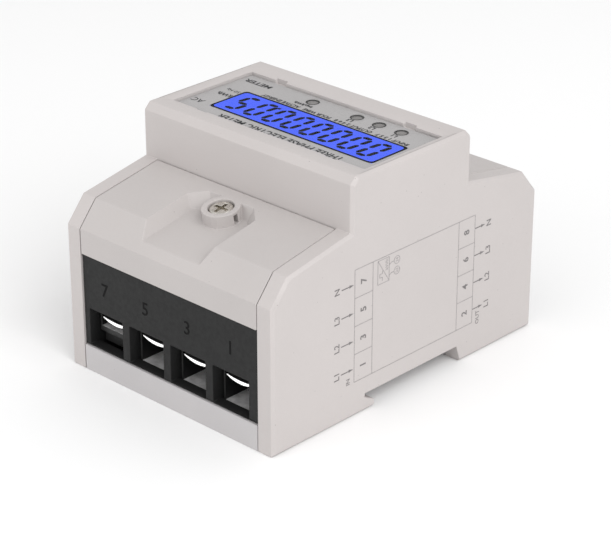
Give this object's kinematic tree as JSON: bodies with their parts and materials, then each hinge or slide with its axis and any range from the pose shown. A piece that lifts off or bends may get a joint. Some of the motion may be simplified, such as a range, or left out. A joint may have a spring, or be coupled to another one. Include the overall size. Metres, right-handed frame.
{
  "type": "smart electric meter",
  "caption": "Rail-mounted three-phase energy meter: stepped case, lit display, screw terminals at both ends under lift-off covers, sprung rail latch.",
  "frame": {"origin": "centre of the back plane, the plane that faces the wall when the meter is on its rail", "axes": "+Z out of the display; +Y towards the end with the outgoing terminals, which hangs down when mounted; +X towards the side with the wiring diagram"},
  "size_m": [0.074, 0.1, 0.0655],
  "materials": {
    "housing_plastic": "fine spark-eroded texture, warm light grey",
    "base_plastic": "fine spark-eroded texture, light grey",
    "cover_plastic": "fine spark-eroded texture, light grey",
    "black_plastic": "fine matte, charcoal",
    "latch_plastic": "satin, dark grey acetal",
    "clear_window": "polished clear polycarbonate",
    "label_sheet": "satin silver-grey printed sheet",
    "lcd_glass": "blue backlit display glass",
    "light_guide": "milky diffuser",
    "lamp_lens": "unlit tinted lens",
    "circuit_board": "green solder mask",
    "black_resin": "matte moulded resin",
    "ferrite_core": "dull ferrite with taped winding",
    "film_capacitor_case": "satin box",
    "capacitor_sleeve": "shrink sleeve over a can",
    "tinned_copper": "bright tin plating",
    "brass_pin": "satin",
    "zinc_steel": "bright zinc plating",
    "nickel_screw": "bright nickel plating"
  },
  "bodies": {
    "meter_case": {"front_housing": "housing_plastic", "base_housing": "base_plastic", "latch_spring": "zinc_steel", "display_window": "clear_window", "faceplate": "label_sheet", "lcd_panel": "lcd_glass", "backlight_guide": "light_guide", "led_l1": "lamp_lens", "led_l2": "lamp_lens", "led_l3": "lamp_lens", "led_pulse": "lamp_lens", "display_board": "circuit_board", "main_board": "circuit_board", "board_header": "black_resin", "power_transformer": "ferrite_core", "suppression_capacitor": "film_capacitor_case", "storage_capacitor": "capacitor_sleeve", "metering_chip": "black_resin", "terminal_block_in": "black_plastic", "terminal_block_out": "black_plastic", "pulse_terminal_block": "black_plastic", "busbar_l1": "tinned_copper", "busbar_l2": "tinned_copper", "busbar_l3": "tinned_copper", "busbar_n": "tinned_copper", "voltage_tap_l1": "brass_pin", "voltage_tap_l2": "brass_pin", "voltage_tap_l3": "brass_pin", "voltage_tap_n": "brass_pin", "current_transformer_l1": "black_resin", "current_transformer_l2": "black_resin", "current_transformer_l3": "black_resin", "case_screw_1": "zinc_steel", "case_screw_2": "zinc_steel", "case_screw_3": "zinc_steel", "case_screw_4": "zinc_steel"},
    "terminal_cover_in": {"terminal_cover_in": "cover_plastic"},
    "cover_screw_in": {"cover_screw_in": "nickel_screw"},
    "terminal_cover_out": {"terminal_cover_out": "cover_plastic"},
    "cover_screw_out": {"cover_screw_out": "nickel_screw"},
    "terminal_screw_1": {"terminal_screw_1": "zinc_steel"},
    "terminal_cage_1": {"terminal_cage_1": "zinc_steel"},
    "terminal_screw_2": {"terminal_screw_2": "zinc_steel"},
    "terminal_cage_2": {"terminal_cage_2": "zinc_steel"},
    "terminal_screw_3": {"terminal_screw_3": "zinc_steel"},
    "terminal_cage_3": {"terminal_cage_3": "zinc_steel"},
    "terminal_screw_4": {"terminal_screw_4": "zinc_steel"},
    "terminal_cage_4": {"terminal_cage_4": "zinc_steel"},
    "terminal_screw_5": {"terminal_screw_5": "zinc_steel"},
    "terminal_cage_5": {"terminal_cage_5": "zinc_steel"},
    "terminal_screw_6": {"terminal_screw_6": "zinc_steel"},
    "terminal_cage_6": {"terminal_cage_6": "zinc_steel"},
    "terminal_screw_7": {"terminal_screw_7": "zinc_steel"},
    "terminal_cage_7": {"terminal_cage_7": "zinc_steel"},
    "terminal_screw_8": {"terminal_screw_8": "zinc_steel"},
    "terminal_cage_8": {"terminal_cage_8": "zinc_steel"},
    "rail_latch": {"rail_latch": "latch_plastic"},
    "pulse_screw_23": {"pulse_screw_23": "nickel_screw"},
    "pulse_screw_24": {"pulse_screw_24": "nickel_screw"}
  },
  "joints": [
    {"name": "terminal_cover_in_lift", "type": "slide", "parent": "meter_case", "child": "terminal_cover_in", "axis": [0, -0.1789, 0.9839], "range_m": [0, 0.03]},
    {"name": "cover_screw_in_turn", "type": "hinge", "parent": "terminal_cover_in", "child": "cover_screw_in", "pos_m": [-0.0004, -0.0301, 0.04948], "axis": [0, -0.1789, 0.9839], "continuous": true},
    {"name": "terminal_cover_out_lift", "type": "slide", "parent": "meter_case", "child": "terminal_cover_out", "axis": [0, 0.1789, 0.9839], "range_m": [0, 0.03]},
    {"name": "cover_screw_out_turn", "type": "hinge", "parent": "terminal_cover_out", "child": "cover_screw_out", "pos_m": [-0.0004, 0.0301, 0.04948], "axis": [0, 0.1789, 0.9839], "continuous": true},
    {"name": "terminal_screw_1_turn", "type": "hinge", "parent": "meter_case", "child": "terminal_screw_1", "pos_m": [0.02205, -0.042, 0.025], "axis": [0, 0, 1], "range_deg": [-2160, 0]},
    {"name": "terminal_cage_1_lift", "type": "slide", "parent": "meter_case", "child": "terminal_cage_1", "axis": [0, 0, 1], "range_m": [0, 0.0048]},
    {"name": "terminal_screw_2_turn", "type": "hinge", "parent": "meter_case", "child": "terminal_screw_2", "pos_m": [0.02205, 0.042, 0.025], "axis": [0, 0, 1], "range_deg": [-2160, 0]},
    {"name": "terminal_cage_2_lift", "type": "slide", "parent": "meter_case", "child": "terminal_cage_2", "axis": [0, 0, 1], "range_m": [0, 0.0048]},
    {"name": "terminal_screw_3_turn", "type": "hinge", "parent": "meter_case", "child": "terminal_screw_3", "pos_m": [0.00685, -0.042, 0.025], "axis": [0, 0, 1], "range_deg": [-2160, 0]},
    {"name": "terminal_cage_3_lift", "type": "slide", "parent": "meter_case", "child": "terminal_cage_3", "axis": [0, 0, 1], "range_m": [0, 0.0048]},
    {"name": "terminal_screw_4_turn", "type": "hinge", "parent": "meter_case", "child": "terminal_screw_4", "pos_m": [0.00685, 0.042, 0.025], "axis": [0, 0, 1], "range_deg": [-2160, 0]},
    {"name": "terminal_cage_4_lift", "type": "slide", "parent": "meter_case", "child": "terminal_cage_4", "axis": [0, 0, 1], "range_m": [0, 0.0048]},
    {"name": "terminal_screw_5_turn", "type": "hinge", "parent": "meter_case", "child": "terminal_screw_5", "pos_m": [-0.00835, -0.042, 0.025], "axis": [0, 0, 1], "range_deg": [-2160, 0]},
    {"name": "terminal_cage_5_lift", "type": "slide", "parent": "meter_case", "child": "terminal_cage_5", "axis": [0, 0, 1], "range_m": [0, 0.0048]},
    {"name": "terminal_screw_6_turn", "type": "hinge", "parent": "meter_case", "child": "terminal_screw_6", "pos_m": [-0.00835, 0.042, 0.025], "axis": [0, 0, 1], "range_deg": [-2160, 0]},
    {"name": "terminal_cage_6_lift", "type": "slide", "parent": "meter_case", "child": "terminal_cage_6", "axis": [0, 0, 1], "range_m": [0, 0.0048]},
    {"name": "terminal_screw_7_turn", "type": "hinge", "parent": "meter_case", "child": "terminal_screw_7", "pos_m": [-0.02355, -0.042, 0.025], "axis": [0, 0, 1], "range_deg": [0, 2160]},
    {"name": "terminal_cage_7_lift", "type": "slide", "parent": "meter_case", "child": "terminal_cage_7", "axis": [0, 0, 1], "range_m": [-0.0048, 0]},
    {"name": "terminal_screw_8_turn", "type": "hinge", "parent": "meter_case", "child": "terminal_screw_8", "pos_m": [-0.02355, 0.042, 0.025], "axis": [0, 0, 1], "range_deg": [-2160, 0]},
    {"name": "terminal_cage_8_lift", "type": "slide", "parent": "meter_case", "child": "terminal_cage_8", "axis": [0, 0, 1], "range_m": [0, 0.0048]},
    {"name": "rail_latch_slide", "type": "slide", "parent": "meter_case", "child": "rail_latch", "axis": [0, 1, 0], "range_m": [0, 0.0035], "stiffness_N_per_m": 900, "springref_m": -0.002, "deforming": ["latch_spring"]},
    {"name": "pulse_screw_23_turn", "type": "hinge", "parent": "meter_case", "child": "pulse_screw_23", "pos_m": [-0.0024, 0.0415, 0.036], "axis": [0, 0, 1], "range_deg": [-1080, 0]},
    {"name": "pulse_screw_24_turn", "type": "hinge", "parent": "meter_case", "child": "pulse_screw_24", "pos_m": [0.0009, 0.0415, 0.036], "axis": [0, 0, 1], "range_deg": [-1080, 0]}
  ],
  "couplings": [
    {"joint": "terminal_screw_1_turn", "follows": "terminal_cage_1_lift", "rad_per_m": -7854},
    {"joint": "terminal_screw_2_turn", "follows": "terminal_cage_2_lift", "rad_per_m": -7854},
    {"joint": "terminal_screw_3_turn", "follows": "terminal_cage_3_lift", "rad_per_m": -7854},
    {"joint": "terminal_screw_4_turn", "follows": "terminal_cage_4_lift", "rad_per_m": -7854},
    {"joint": "terminal_screw_5_turn", "follows": "terminal_cage_5_lift", "rad_per_m": -7854},
    {"joint": "terminal_screw_6_turn", "follows": "terminal_cage_6_lift", "rad_per_m": -7854},
    {"joint": "terminal_screw_7_turn", "follows": "terminal_cage_7_lift", "rad_per_m": -7854},
    {"joint": "terminal_screw_8_turn", "follows": "terminal_cage_8_lift", "rad_per_m": -7854}
  ]
}
